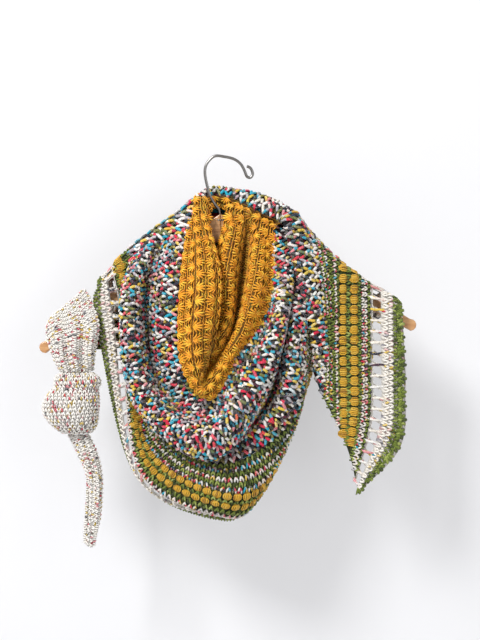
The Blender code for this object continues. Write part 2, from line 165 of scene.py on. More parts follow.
# Fold lines of the wrap that crosses behind the neck from the left shoulder to the right one, from
# its gold inner edge over the crown to the edging. Columns: left shoulder, behind left, behind the
# hook, behind right, right shoulder.
WRAP_ROWS = (
    ("neck edge", (-21, 57, -1), (-12, 58, -16), (8, 63, -20), (32, 73, -19), (54, 80, -8)),
    ("gold roll", (-27, 50, -1), (-13, 50, -14), (9, 55, -15), (37, 69, -8), (58, 79, 3)),
    ("body seam", (-33, 50, -1), (-14, 43, -13), (9, 47, -11), (43, 65, 2), (64, 77, 12)),
    ("crown", (-42, 57, -1), (-18, 36, -21), (10, 37, -21), (47, 46, -11), (79, 69, 6)),
    ("nape", (-58, 69, -1), (-42, 60, -28), (8, 54, -37), (68, 72, -24), (102, 95, -1)),
    ("stripe seam", (-112, 109, -1), (-72, 106, -32), (8, 106, -42), (92, 114, -28), (132, 121, -1)),
    ("puffs end", (-127, 123, -1), (-92, 142, -33), (9, 156, -43), (108, 148, -29), (154, 137, -1)),
    ("ladder start", (-132, 128, -1), (-106, 172, -32), (10, 194, -42), (124, 180, -29), (168, 147, -1)),
    ("edging start", (-144, 140, -1), (-114, 192, -30), (11, 220, -40), (132, 198, -28), (194, 162, -1)),
    ("edging", (-149, 145, -1), (-118, 204, -28), (12, 238, -38), (136, 212, -27), (205, 170, -1)),
)

# Fold lines of the right wing. Columns: shoulder, upper, middle, lower, end on the long edge.
WING_ROWS = (
    ("crease", (66, 76, 14), (84, 148, 37), (99, 198, 32), (102, 226, 22), (101, 246, 15)),
    ("roll side", (80, 69, 8), (99, 148, 33), (108, 198, 29), (109, 236, 22), (107, 263, 16)),
    ("green start", (102, 95, 0.1), (112, 156, 25), (115, 206, 23), (115, 250, 20), (114, 280, 16)),
    ("puffs start", (132, 121, 0.1), (132, 172, 16), (132, 222, 17), (133, 276, 17), (135, 322, 15)),
    ("puffs end", (154, 137, 0.1), (154, 182, 18), (154, 236, 20), (154, 296, 19), (146, 352, 15)),
    ("ladder start", (168, 147, 0.1), (168, 192, 14), (168, 246, 16), (167, 308, 16), (151, 374, 14)),
    ("ladder end", (184, 156, 0.1), (184, 200, 13), (185, 254, 14), (182, 318, 14), (155, 385, 13)),
    ("edging start", (194, 162, 0.1), (195, 206, 12), (195, 260, 13), (191, 326, 13), (155, 389, 12)),
    ("edging", (205, 170, 0.1), (208, 212, 10), (210, 268, 10), (204, 338, 10), (152, 394, 11)),
)

# Fold lines of the layer below the wrap, from the right shoulder across the back to the left end.
UNDER_ROWS = (
    ("upper edge", (8, 62, -1), (-6, 92, -14), (-54, 128, -15), (-108, 168, -15), (-163, 196, -13)),
    ("body", (58, 88, -1), (32, 120, -17), (-44, 150, -19), (-112, 186, -17), (-174, 206, -14)),
    ("stripes", (100, 112, -1), (58, 146, -17), (-36, 176, -19), (-114, 204, -17), (-186, 216, -14)),
    ("edging", (142, 138, -1), (84, 172, -16), (-28, 200, -17), (-116, 222, -16), (-200, 226, -13)),
)

# Fold lines of the tail above its knot. Columns: behind the arm, over the arm, upper, lower, knot.
TAIL_ROWS = (
    ("outer back", (-203, 222, -12), (-209, 197, 0), (-207, 212, 9), (-199, 232, 4), (-192, 250, 4)),
    ("outer edge", (-199, 219, -13), (-205, 190, 1), (-205, 208, 17), (-199, 234, 14), (-190, 251, 10)),
    ("outer pleat", (-194, 216, -13), (-199, 183, 1), (-196, 203, 26), (-191, 232, 28), (-184, 251, 24)),
    ("outer crease", (-189, 213, -13), (-192, 178, 1), (-186, 200, 20), (-183, 230, 21), (-178, 251, 20)),
    ("middle pleat", (-183, 209, -13), (-185, 172, 1), (-176, 197, 27), (-175, 228, 29), (-173, 251, 26)),
    ("inner crease", (-177, 205, -13), (-178, 166, 1), (-166, 195, 22), (-167, 227, 20), (-167, 251, 19)),
    ("inner pleat", (-171, 201, -13), (-171, 160, 1), (-156, 194, 26), (-158, 226, 22), (-160, 250, 18)),
    ("inner edge", (-166, 198, -13), (-165, 154, 1), (-147, 192, 19), (-152, 226, 12), (-155, 249, 8)),
)

# Fold lines of the tail below the knot. Columns: knot, upper, middle, lower, tip.
TAIL_END_ROWS = (
    ("outer edge", (-184, 323.2, 4), (-172, 346, 4), (-163, 370, 5), (-164, 410, 8), (-166, 450, 8)),
    ("outer flap", (-180, 323.2, 12), (-170, 347, 11), (-160, 372, 8), (-158, 410, 6), (-163, 452, 7)),
    ("outer pleat", (-174, 323.2, 19), (-164, 346, 20), (-157, 372, 17), (-155, 410, 14), (-160, 454, 11)),
    ("crease", (-168, 323.2, 15), (-159, 347, 16), (-153, 374, 15), (-152, 412, 13), (-158, 455, 10)),
    ("inner pleat", (-164, 323.2, 19), (-154, 346, 21), (-149, 374, 18), (-149, 412, 15), (-156, 455, 11)),
    ("inner edge", (-160, 323.2, 10), (-150, 345, 12), (-144, 374, 11), (-146, 414, 9), (-153, 454, 7)),
)

# The knot's rounded outline: drop, half width across, half depth, middle across, middle out
KNOT_RINGS = (
    (251.4, 14, 9, -173, 13),
    (256, 23, 17, -173, 14),
    (263, 26, 21, -172, 15),
    (268, 24, 19, -173, 15),
    (274, 27, 21, -176, 15),
    (284, 31, 25, -179, 16),
    (296, 31, 26, -180, 16),
    (308, 27, 23, -177, 15),
    (317, 20, 17, -174, 13),
    (322.4, 13, 8, -172, 12),
)

# The hook's route: across and drop of the wire's centre line, from the wood to the tip.
HOOK_ROUTE = (
    (-6.4, 65.4),
    (-8, 60),
    (-13, 53.6),
    (-18.4, 43.6),
    (-23.2, 25),
    (-24, 13),
    (-20.5, 4.4),
    (-12.5, -2.4),
    (-1, -5.0 + WIRE),
    (10, 1.2),
    (18, 7.2),
    (22.4, 15.2),
    (25, 21.4),
    (29.2, 22.8),
    (31.9, 18.6),
    (29.6, 12.2),
    (25.2, 9.4),
)

# Soft troughs between the main folds of the front, whose stitches also get painted shade. Columns:
# fold line, first and last place along it, depth in millimetres, half width in fold lines.
CREASES = (
    ("middle crease", 4.5, 7.8, 10.0, 0.5),
    ("lobe edge", 2.6, 4.2, 5.0, 0.5),
    ("long crease", 1.3, 3.5, 8.0, 0.5),
    ("pocket", 4.6, 7.2, 9.0, 0.6),
    ("right lobe", 2.9, 4.6, 6.0, 0.5),
    ("inner lobe", 4.4, 6.2, 4.0, 0.4),
)

# Colours of the yarns, in linear light, with their share of the mixed yarn
SNOW = (0.99, 0.96, 0.90)
PALE = (0.95, 0.90, 0.82)
CREAM = (0.84, 0.78, 0.69)
WHITE = (0.80, 0.78, 0.75)
GREY = (0.42, 0.40, 0.43)
INK = (0.014, 0.016, 0.034)
TEAL = (0.006, 0.36, 0.50)
CRIMSON = (0.66, 0.008, 0.05)
PINK = (0.72, 0.26, 0.28)
OLIVE = (0.15, 0.17, 0.035)
OCHRE = (0.72, 0.50, 0.05)
GOLD = (0.98, 0.42, 0.010)
# GOLD_LIGHT and GOLD_DARK vary the gold at random along its strands; GOLD_LIGHT takes the colour of the
# gold's gloss highlights, so it is painted highlight.
GOLD_LIGHT = (1.0, 0.60, 0.04)
GOLD_DARK = (0.80, 0.29, 0.006)
MUSTARD = (0.74, 0.41, 0.02)
GREEN = (0.155, 0.21, 0.022)
GREEN_LIGHT = (0.36, 0.42, 0.10)
GREEN_DARK = (0.045, 0.065, 0.008)

YARNS = {
    "gold": ((0.5, GOLD), (0.25, GOLD_LIGHT), (0.25, GOLD_DARK)),
    "mustard": ((0.6, MUSTARD), (0.25, (0.76, 0.46, 0.05)), (0.15, (0.42, 0.20, 0.01))),
    "green": ((0.5, GREEN), (0.22, GREEN_LIGHT), (0.28, GREEN_DARK)),
    "cream": ((0.86, PALE), (0.05, (0.80, 0.52, 0.50)), (0.04, OCHRE), (0.05, GREY)),
    "flecked": (
        (0.40, CREAM), (0.11, PINK), (0.22, WHITE), (0.09, CRIMSON),
        (0.06, OCHRE), (0.05, INK), (0.04, GREY), (0.03, TEAL),
    ),
    "speckled": (
        (0.29, SNOW), (0.06, OCHRE), (0.22, SNOW), (0.035, CRIMSON), (0.21, SNOW), (0.02, INK),
        (0.11, SNOW), (0.035, PINK), (0.02, GREY),
    ),
    "mixed": (
        (0.09, WHITE), (0.12, INK), (0.06, TEAL), (0.10, CREAM), (0.07, CRIMSON), (0.09, OLIVE),
        (0.06, WHITE), (0.08, INK), (0.05, OCHRE), (0.09, GREY), (0.06, TEAL), (0.05, CRIMSON),
        (0.04, PINK), (0.04, OCHRE),
    ),
}

# How dark the cloth behind each yarn is painted, as painted shade between the loops, and how many colour
# changes a strand has
CLOTH_PAINTED_SHADES = {
    "gold": 0.26, "mustard": 0.2, "green": 0.4, "cream": 0.8, "flecked": 0.6, "mixed": 0.22,
    "speckled": 0.85,
}
CHANGES = {
    "gold": 1.0, "mustard": 1.0, "green": 1.5, "cream": 1.0, "flecked": 1.3, "mixed": 1.9,
    "speckled": 0.8,
}
PALE_YARNS = {"cream", "speckled"}
SHINY_YARNS = {"gold", "mustard"}

# Yarn: plies, their turns in a strand, relief in metres of a ply and of a row in the cloth, and the
# spread of the chance values, so that neighbouring strands differ
PLIES = 3.0
TURNS = 24.0
PLY_RELIEF = 0.0006
ROW_RELIEF = 0.0022
TONE_STEP = 3.7
TONE_SPREAD = 91.7

# Painted light and shade on a strand, multiplied into its colour: half way round it, its change to either
# side, how softly that ends, and the painted shade in a crease; then the scale, detail and range of its
# random mottling
HALF_LIT = 0.72
SIDE_LIT = 0.55
LIT_BLEND = 0.15
CREASE_PAINTED_SHADE = -0.62
MOTTLE = (420.0, 3.0)
MOTTLE_RANGE = (0.76, 1.24)


def spline_weights(count, places):
    """Weights of the control points of a smooth curve at each place, one row for each place."""
    places = np.atleast_1d(np.asarray(places, float))
    start = np.clip(places.astype(int), 0, count - 2)
    part = places - start
    square = part * part
    cube = square * part
    pull_a = cube - 2.0 * square + part
    pull_b = cube - square
    table = np.zeros((len(places), count + 2))
    rows = np.arange(len(places))
    table[rows, start] -= 0.5 * pull_a
    table[rows, start + 1] += 2.0 * cube - 3.0 * square + 1.0 - 0.5 * pull_b
    table[rows, start + 2] += 3.0 * square - 2.0 * cube + 0.5 * pull_a
    table[rows, start + 3] += 0.5 * pull_b
    table[:, 1] += 2.0 * table[:, 0]
    table[:, 2] -= table[:, 0]
    table[:, count] += 2.0 * table[:, count + 1]
    table[:, count - 1] -= table[:, count + 1]
    return table[:, 1:count + 1]


def over_arm(crest, below, out):
    """The place where a fold line that lies over an arm leaves it, so far out or behind."""
    across = crest[0] + ARM_SHARE * (below[0] - crest[0])
    drop = crest[1] + min(ARM_DROP, ARM_SLOPE * (below[1] - crest[1]))
    return (across, drop, crest[2] + out)


class Drape:
    """A smooth sheet through a table of fold lines. face is 1 or -1 for the side that shows."""

    def __init__(self, rows, start_out=0.0, end_out=0.0, face=1.0, creases=()):
        self.names = [row[0] for row in rows]
        self.creases = creases
        self.face = face
        lines = []
        for row in rows:
            line = list(row[1:])
            if end_out:
                line.insert(-1, over_arm(line[-1], line[-2], end_out))
            if start_out:
                line.insert(1, over_arm(line[0], line[1], start_out))
            lines.append(line)
        self.net = np.array(lines, float)
        self.last = self.net.shape[1] - 1.0

    def line(self, name):
        return float(self.names.index(name))

    def troughs(self, lines, places):
        """How deep each point lies in a crease, in millimetres, and as a share of the deepest, which sets
        the painted shade in the crease.
        """
        deep = np.zeros((len(lines), len(places)))
        share = np.zeros_like(deep)
        for name, start, end, depth, half in self.creases:
            across = np.exp(-((np.asarray(lines, float) - self.line(name)) / half) ** 2)
            part = np.clip((np.asarray(places, float) - start) / (end - start), 0.0, 1.0)
            along = np.sin(math.pi * part) ** 0.7
            deep += depth * np.outer(across, along)
            share = np.maximum(share, np.outer(across, along))
        return deep, share

    def grid(self, lines, places):
        """World points in metres for every line and place."""
        weights_a = spline_weights(self.net.shape[0], lines)
        weights_b = spline_weights(self.net.shape[1], places)
        points = np.einsum("ia,jb,abk->ijk", weights_a, weights_b, self.net)
        points[..., 2] -= self.troughs(lines, places)[0]
        return np.stack([points[..., 0], -points[..., 2], -points[..., 1]], axis=-1) * MM

    def stops(self, line, count):
        """Places along a line, count equal steps apart by length."""
        places = np.linspace(0.0, self.last, 241)
        points = self.grid([line], places)[0]
        run = np.concatenate([[0.0], np.cumsum(np.linalg.norm(np.diff(points, axis=0), axis=1))])
        return np.interp(np.linspace(0.0, run[-1], count + 1), run, places), run[-1] / MM


def unit(vectors):
    return vectors / np.maximum(np.linalg.norm(vectors, axis=-1, keepdims=True), 1e-12)


def outward(grid, face):
    """Unit normals of a grid of points, on the side that shows."""
    across = np.gradient(grid, axis=0)
    along = np.gradient(grid, axis=1)
    return unit(np.cross(along, across)) * face


def new_object(name, data, material=None):
    made = bpy.data.objects.new(name, data)
    if material is not None:
        data.materials.append(material)
    bpy.context.scene.collection.objects.link(made)
    return made


def give(data, values):
    """Named values on the points of a mesh, one number or three for each point."""
    for label, column in values.items():
        column = np.asarray(column, float)
        kind, field = ("FLOAT", "value") if column.ndim == 1 else ("FLOAT_VECTOR", "vector")
        data.attributes.new(label, kind, "POINT").data.foreach_set(field, column.ravel())


def new_mesh(name, points, faces, values):
    """A smooth mesh with its faces turned outwards, without the points that no face uses."""
    data = bpy.data.meshes.new(name)
    data.from_pydata(np.asarray(points).tolist(), [], faces)
    give(data, values)
    data.shade_smooth()
    turned = bmesh.new()
    turned.from_mesh(data)
    loose = [point for point in turned.verts if not point.link_faces]
    bmesh.ops.delete(turned, geom=loose, context="VERTS")
    bmesh.ops.recalc_face_normals(turned, faces=turned.faces)
    turned.to_mesh(data)
    turned.free()
    return data


def backing(name, grid, face, cells, material, holes=()):
    """A thin closed sheet on a grid of points: an outer skin, an inner skin and a rim.

    cells holds, for each grid point, its place in stitches along and across, for the material.
    """
    lines, places, _ = grid.shape
    normal = outward(grid, face)
    skins = [grid + normal * 0.5 * BACKING * MM, grid - normal * 0.5 * BACKING * MM]
    count = lines * places
    points = np.concatenate([skin.reshape(-1, 3) for skin in skins])
    quads = []
    edges = {}
    for line in range(lines - 1):
        for place in range(places - 1):
            if (line, place) in holes:
                continue
            a = line * places + place
            quad = (a, a + 1, a + 1 + places, a + places)
            if face < 0:
                quad = quad[::-1]
            quads.append(quad)
            for start, end in zip(quad, quad[1:] + quad[:1]):
                if (end, start) in edges:
                    del edges[(end, start)]
                else:
                    edges[(start, end)] = True
    faces = list(quads)
    faces += [tuple(point + count for point in quad[::-1]) for quad in quads]
    faces += [(end, start, start + count, end + count) for start, end in edges]
    inside = np.repeat([0.0, 1.0], count)
    values = np.concatenate([cells.reshape(-1, 2)] * 2)
    data = new_mesh(name, points, faces, {"cell": np.column_stack([values, inside])})
    return new_object(name, data, material)


def cell_grid(lines, places):
    """The place of each grid point in stitches, along and across."""
    return np.stack(np.meshgrid(lines, places, indexing="ij")[::-1], axis=-1)


class Band:
    """A band of rows between two fold lines, measured by length along and across."""

    def __init__(self, drape, first, last, fine_across=48, fine_along=260):
        self.drape = drape
        lines = np.linspace(first, last, fine_across)
        self.places = np.linspace(0.0, drape.last, fine_along)
        self.points = drape.grid(lines, self.places)
        steps = np.linalg.norm(np.diff(self.points, axis=0), axis=2)
        run = np.concatenate([np.zeros((1, fine_along)), np.cumsum(steps, axis=0)])
        self.width = run[-1] / MM
        self.share = run / np.maximum(run[-1], 1e-9)
        # How far each point lies in a crease, which sets the painted shade of its stitches.
        self.painted_shade = drape.troughs(lines, self.places)[1]

    def curve(self, share):
        """Points of the row at that share of the band's width."""
        made = np.empty((len(self.places), 3))
        for column in range(len(self.places)):
            for axis in range(3):
                made[column, axis] = np.interp(
                    share, self.share[:, column], self.points[:, column, axis])
        return made

    def painted_crease_shade(self, share):
        """How far the row at that share lies in a crease, from 0 to 1, for the painted shade of its
        stitches.
        """
        return np.array([
            np.interp(share, self.share[:, column], self.painted_shade[:, column])
            for column in range(len(self.places))])

    def usual_width(self):
        return float(np.percentile(self.width, 70))

    def row(self, share, kind, rows, number, shift=0.0, turned=False):
        """Stitches along one row: places, turns and sizes."""
        pitch, height, thick = SIZES[kind]
        here = self.curve(share)
        reach = ROW_REACH / rows
        up = unit(self.curve(min(share + reach, 1.0)) - self.curve(max(share - reach, 0.0)))
        along = unit(np.gradient(here, axis=0))
        out = unit(np.cross(along, up)) * self.drape.face
        steps = np.linalg.norm(np.diff(here, axis=0), axis=1)
        run = np.concatenate([[0.0], np.cumsum(steps)]) / MM
        count = max(1, int(round(run[-1] / pitch)))
        marks = (np.arange(count) + 0.5 + shift) / count * run[-1]
        marks = marks[(marks > ROW_END * pitch) & (marks < run[-1] - ROW_END * pitch)]

        def at(values):
            return np.stack([np.interp(marks, run, values[:, axis]) for axis in range(3)], axis=1)

        local = np.interp(marks, run, self.width) / rows
        crowd = np.maximum(CROWDED * height / np.maximum(local, 0.05), 1.0)
        step = 2 ** np.ceil(np.log2(crowd)).astype(int)
        keep = number % step == 0
        tall = np.clip(local * step, SQUEEZED * height, STRETCHED * height)
        x_axis = unit(at(along))
        z_axis = unit(at(out))
        y_axis = unit(np.cross(z_axis, x_axis))
        if turned:
            x_axis = -x_axis
            y_axis = -y_axis
        size = np.column_stack([np.full(len(marks), pitch), tall, np.full(len(marks), thick)]) * MM
        # Painted crease shade at each stitch.
        painted_shade = np.interp(marks, run, self.painted_crease_shade(share))
        return at(here)[keep], np.stack([x_axis, y_axis, z_axis], axis=-1)[keep], size[keep], painted_shade[keep]


def euler(turns):
    """Euler angles of rotation matrices."""
    flat = np.sqrt(turns[:, 0, 0] ** 2 + turns[:, 1, 0] ** 2)
    return np.column_stack([
        np.arctan2(turns[:, 2, 1], turns[:, 2, 2]),
        np.arctan2(-turns[:, 2, 0], flat),
        np.arctan2(turns[:, 1, 0], turns[:, 0, 0]),
    ])


def strand_points(path, steps):
    weights = spline_weights(len(path), np.linspace(0.0, len(path) - 1.0, steps + 1))
    return weights @ np.array(path, float)


def stitch_shape(name, strands, sides, steps):
    """A stitch as closed strands of yarn in a cell 1 wide, 1 high and 1 thick.

    Each strand is (path, radius). The ring attribute holds the turn round the strand and the length.
    """
    points = []
    rings = []
    numbers = []
    faces = []
    for number, (path, radius) in enumerate(strands):
        line = strand_points(path, steps)
        tangent = unit(np.gradient(line, axis=0))
        side = unit(np.cross(tangent, np.array([0.0, 0.0, 1.0]) + 1e-3))
        top = np.cross(side, tangent)
        base = len(points)
        for step in range(steps + 1):
            share = step / steps
            thick = radius * (0.62 + 0.38 * math.sin(math.pi * share) ** 0.5)
            for corner in range(sides):
                turn = math.tau * corner / sides
                spot = line[step] + thick * (math.cos(turn) * side[step] + math.sin(turn) * top[step])
                points.append(spot)
                rings.append((math.cos(turn), math.sin(turn), share))
                numbers.append(float(number))
        for step in range(steps):
            for corner in range(sides):
                after = (corner + 1) % sides
                a = base + step * sides
                faces.append((a + corner, a + after, a + sides + after, a + sides + corner))
        faces.append(tuple(base + corner for corner in range(sides))[::-1])
        faces.append(tuple(base + steps * sides + corner for corner in range(sides)))
    return new_object(name, new_mesh(name, points, faces, {"ring": rings, "strand": numbers}))


def mirrored(path):
    return [(-x, y, z) for x, y, z in path]


def fan(tips, foot, marks, radius):
    """Strands that spread from a foot to their tips. marks: shares across and up, and height."""
    return [
        ([(across * tip_x, foot + up * (tip_y - foot), high) for across, up, high in marks], radius)
        for tip_x, tip_y in tips]


def stitch_shapes():
    """One small mesh for each kind of stitch."""
    leg = [(0.03, -0.60, 0.04), (-0.13, -0.22, 0.26), (-0.29, 0.14, 0.30), (-0.36, 0.44, 0.20),
           (-0.29, 0.66, 0.02)]
    small_leg = [(-0.30, -0.55, 0.06), (-0.26, -0.10, 0.30), (-0.10, 0.32, 0.30), (0.03, 0.60, 0.08)]
    chain_leg = [(-0.62, 0.02, 0.12), (-0.20, 0.30, 0.26), (0.30, 0.22, 0.24), (0.62, 0.0, 0.12)]
    petals = fan(
        ((-0.47, -0.06), (-0.36, 0.30), (-0.13, 0.50), (0.13, 0.50), (0.36, 0.30), (0.47, -0.06)),
        -0.42, ((0.10, 0.0, 0.10), (0.45, 0.42, 0.25), (0.82, 0.80, 0.24), (1.0, 1.0, 0.06)), 0.078)
    fans = fan(
        ((-0.50, -0.02), (-0.34, 0.36), (0.0, 0.52), (0.34, 0.36), (0.50, -0.02)),
        -0.50, ((0.12, 0.0, 0.08), (0.6, 0.5, 0.20), (1.0, 1.0, 0.04)), 0.17)
    ribs = []
    for spread in (-0.34, -0.17, 0.0, 0.17, 0.34):
        fall = 0.5 * abs(spread)
        ribs.append(([(0.35 * spread, -0.50, 0.05), (spread, -0.18, 0.34 - fall),
                      (1.05 * spread, 0.20, 0.38 - fall), (0.45 * spread, 0.52, 0.06)], 0.088))
    bar = [(-0.28, -0.50, 0.05), (0.26, -0.20, 0.14), (-0.24, 0.15, 0.14), (0.28, 0.50, 0.05)]
    other = [(0.28, -0.50, 0.05), (-0.26, -0.20, -0.10), (0.24, 0.15, -0.10), (-0.28, 0.50, 0.05)]
    kinds = (
        ("vee", [(leg, 0.20), (mirrored(leg), 0.20)], 5, 4),
        ("star", petals, 4, 3),
        ("small", [(small_leg, 0.19), (mirrored(small_leg), 0.19)], 4, 3),
        ("puff", ribs, 4, 3),
        ("chain", [(chain_leg, 0.17)], 4, 3),
        ("fine", [(small_leg, 0.20), (mirrored(small_leg), 0.20)], 4, 3),
        ("bar", [(bar, 0.36), (other, 0.36)], 5, 4),
        ("scallop", fans, 4, 3),
    )
    return {name: stitch_shape(name, strands, sides, steps) for name, strands, sides, steps in kinds}


class Nodes:
    """The nodes of one tree, made and joined in short calls."""

    def __init__(self, tree):
        self.tree = tree

    def feed(self, node, inputs):
        """Joins outputs to a node's inputs, or sets the inputs' own values."""
        for name, value in inputs.items():
            if isinstance(value, bpy.types.NodeSocket):
                self.tree.links.new(value, node.inputs[name])
            else:
                node.inputs[name].default_value = value
        return node

    def add(self, kind, inputs=None, **settings):
        made = self.tree.nodes.new(kind)
        for name, value in settings.items():
            setattr(made, name, value)
        return self.feed(made, inputs or {})

    def maths(self, operation, *values):
        return self.add("ShaderNodeMath", dict(enumerate(values)), operation=operation).outputs[0]

    def ranged(self, value, low, high):
        """A value from 0 to 1 spread over a range."""
        inputs = {"Value": value, "To Min": low, "To Max": high}
        return self.add("ShaderNodeMapRange", inputs).outputs["Result"]

    def noise(self, scale, detail, where=None, distortion=0.0):
        """Noise over the object's own coordinates, or over a place made from them."""
        where = where or self.add("ShaderNodeTexCoord").outputs["Object"]
        inputs = {"Vector": where, "Scale": scale, "Detail": detail, "Distortion": distortion}
        return self.add("ShaderNodeTexNoise", inputs).outputs["Fac"]

    def bumped(self, height, strength, distance):
        inputs = {"Height": height, "Strength": strength, "Distance": distance}
        return self.add("ShaderNodeBump", inputs).outputs["Normal"]

    def tinted(self, colour, light):
        """A colour made lighter or darker."""
        inputs = {"Factor": 1.0, "A": colour, "B": light}
        made = self.add("ShaderNodeMix", None, data_type="RGBA", blend_type="MULTIPLY")
        return self.feed(made, inputs).outputs["Result"]

    def steps(self, shares, chance):
        """A ramp of plain steps, one for each share and colour."""
        made = self.add("ShaderNodeValToRGB", {"Fac": chance})
        ramp = made.color_ramp
        ramp.interpolation = "CONSTANT"
        total = sum(share for share, _ in shares)
        run = 0.0
        for number, (share, colour) in enumerate(shares):
            stop = ramp.elements[number] if number < 2 else ramp.elements.new(run)
            stop.position = run
            stop.color = (*colour, 1.0)
            run += share / total
        return made.outputs["Color"]


def stitch_tree():
    """A node tree that sets one stitch on each point, turned and sized by the point's own values."""
    tree = bpy.data.node_groups.new("crochet_stitches", "GeometryNodeTree")
    face = tree.interface
    face.new_socket("Geometry", in_out="INPUT", socket_type="NodeSocketGeometry")
    sockets = {}
    for name, kind in (("Stitch", "Object"), ("Yarn", "Material"), ("Wobble", "Float"), ("Seed", "Int")):
        made = face.new_socket(name, in_out="INPUT", socket_type="NodeSocket" + kind)
        sockets[name] = made.identifier
    face.new_socket("Geometry", in_out="OUTPUT", socket_type="NodeSocketGeometry")
    work = Nodes(tree)
    given = work.add("NodeGroupInput").outputs
    shape = work.add("GeometryNodeObjectInfo", {"Object": given["Stitch"]})
    turn, grow = [
        work.add("GeometryNodeInputNamedAttribute", {"Name": name}, data_type="FLOAT_VECTOR")
        for name in ("turn", "grow")]
    chance = work.add("FunctionNodeRandomValue", None, data_type="FLOAT_VECTOR")
    work.feed(chance, {0: (-1.0, -1.0, -1.0), 1: (1.0, 1.0, 1.0), "Seed": given["Seed"]})
    amount = work.add("ShaderNodeVectorMath", None, operation="SCALE")
    work.feed(amount, {0: chance.outputs[0], "Scale": given["Wobble"]})
    total = work.add("ShaderNodeVectorMath", None, operation="ADD")
    work.feed(total, {0: turn.outputs["Attribute"], 1: amount.outputs["Vector"]})
    rotation = work.add("FunctionNodeEulerToRotation", {0: total.outputs["Vector"]})
    place = work.add("GeometryNodeInstanceOnPoints", {
        "Points": given["Geometry"],
        "Instance": shape.outputs["Geometry"],
        "Rotation": rotation.outputs[0],
        "Scale": grow.outputs["Attribute"],
    })
    real = work.add("GeometryNodeRealizeInstances", {"Geometry": place.outputs["Instances"]})
    look = work.add("GeometryNodeSetMaterial", {
        "Geometry": real.outputs["Geometry"], "Material": given["Yarn"]})
    work.add("NodeGroupOutput", {"Geometry": look.outputs["Geometry"]})
    return tree, sockets


class Crochet:
    """Collects stitches by kind and yarn for one piece, then makes them real through the node tree."""

    def __init__(self, kit, name, seed):
        self.kit = kit
        self.name = name
        self.seed = seed
        self.rows = {}
        self.chance = np.random.default_rng(seed)

    def add(self, kind, yarn, stitches):
        self.rows.setdefault((kind, yarn), []).append(stitches)

    def fill(self, band, kind, yarns, end=1.0, rows=None):
        """Rows of one kind from the band's start to a share of it, with the yarns taking turns."""
        height = SIZES[kind][1]
        count = rows or max(1, int(round(band.usual_width() * end / height)))
        for number in range(count):
            share = (number + 0.5) * end / count
            yarn = yarns[number % len(yarns)]
            turned = kind == "star" and number % 2 == 1
            self.add(kind, yarn, band.row(
                share, kind, count / end, number, 0.25 * (number % 2), turned))

    def make(self, wobble=WOBBLE):
        made = []
        for index, ((kind, yarn), rows) in enumerate(self.rows.items()):
            points = np.concatenate([row[0] for row in rows])
            if not len(points):
                continue
            turns = euler(np.concatenate([row[1] for row in rows]))
            sizes = np.concatenate([row[2] for row in rows])
            name = f"{self.name}_{yarn}_{kind}"
            data = bpy.data.meshes.new(name)
            data.from_pydata(points.tolist(), [], [])
            # How much painted crease shade each stitch gets.
            painted_shades = np.concatenate([row[3] for row in rows])
            tone = self.chance.random(len(points))
            give(data, {"turn": turns, "grow": sizes, "painted_shade": painted_shades, "tone": tone})
            carrier = new_object(name + "_points", data)
            modifier = carrier.modifiers.new("Stitches", "NODES")
            modifier.node_group = self.kit["tree"]
            sockets = self.kit["sockets"]
            modifier[sockets["Stitch"]] = self.kit["shapes"][kind]
            modifier[sockets["Yarn"]] = self.kit["yarns"][yarn]
            modifier[sockets["Wobble"]] = wobble
            modifier[sockets["Seed"]] = self.seed + index
            graph = bpy.context.evaluated_depsgraph_get()
            real = bpy.data.meshes.new_from_object(carrier.evaluated_get(graph), depsgraph=graph)
            real.name = name
            bpy.data.objects.remove(carrier, do_unlink=True)
            made.append(new_object(name, real))
        return made


def new_material(name):
    """A material, its nodes and its main shader."""
    made = bpy.data.materials.new(name)
    made.use_nodes = True
    return made, Nodes(made.node_tree), made.node_tree.nodes["Principled BSDF"]


def twist_group():
    """Ply twist, colour chance and painted light and shade of a strand, from its own ring, strand, tone and
    crease values.
    """
    tree = bpy.data.node_groups.new("yarn_twist", "ShaderNodeTree")
    for way, names in (
        ("INPUT", ("Plies", "Turns", "Changes", "Deepest")),
        ("OUTPUT", ("Height", "Chance", "Lit")),
    ):
        for name in names:
            tree.interface.new_socket(name, in_out=way, socket_type="NodeSocketFloat")
    work = Nodes(tree)
    maths = work.maths
    given = work.add("NodeGroupInput").outputs

    def attribute(name):
        return work.add("ShaderNodeAttribute", attribute_name=name).outputs

    ring = work.add("ShaderNodeSeparateXYZ", {0: attribute("ring")["Vector"]}).outputs
    turn = maths("MULTIPLY", maths("ARCTAN2", ring["Y"], ring["X"]), given["Plies"])
    spiral = maths("ADD", turn, maths("MULTIPLY", ring["Z"], given["Turns"]))
    tone = attribute("tone")["Fac"]
    piece = maths("ADD", maths("MULTIPLY", ring["Z"], given["Changes"]), maths("MULTIPLY", tone, TONE_STEP))
    spot = work.add("ShaderNodeCombineXYZ", {
        "X": maths("MULTIPLY", tone, TONE_SPREAD),
        "Y": attribute("strand")["Fac"],
        "Z": maths("FLOOR", piece),
    })
    noise = work.add("ShaderNodeTexWhiteNoise", {"Vector": spot.outputs[0]}, noise_dimensions="3D")
    # Painted light and shade round the strand: lighter on the side that faces out of the cloth, darker on
    # the side towards it, never below Deepest.
    lit = maths("MULTIPLY_ADD", ring["Y"], SIDE_LIT, HALF_LIT)
    lit = maths("SMOOTH_MIN", 1.0, lit, LIT_BLEND)
    # Painted shade in the front's creases: a stitch deeper in a crease is darker.
    crease = maths("MULTIPLY_ADD", attribute("painted_shade")["Fac"], CREASE_PAINTED_SHADE, 1.0)
    work.add("NodeGroupOutput", {
        "Height": maths("ABSOLUTE", maths("SINE", maths("MULTIPLY", spiral, 0.5))),
        "Chance": noise.outputs["Value"],
        "Lit": maths("MULTIPLY", maths("MAXIMUM", lit, given["Deepest"]), crease),
    })
    return tree


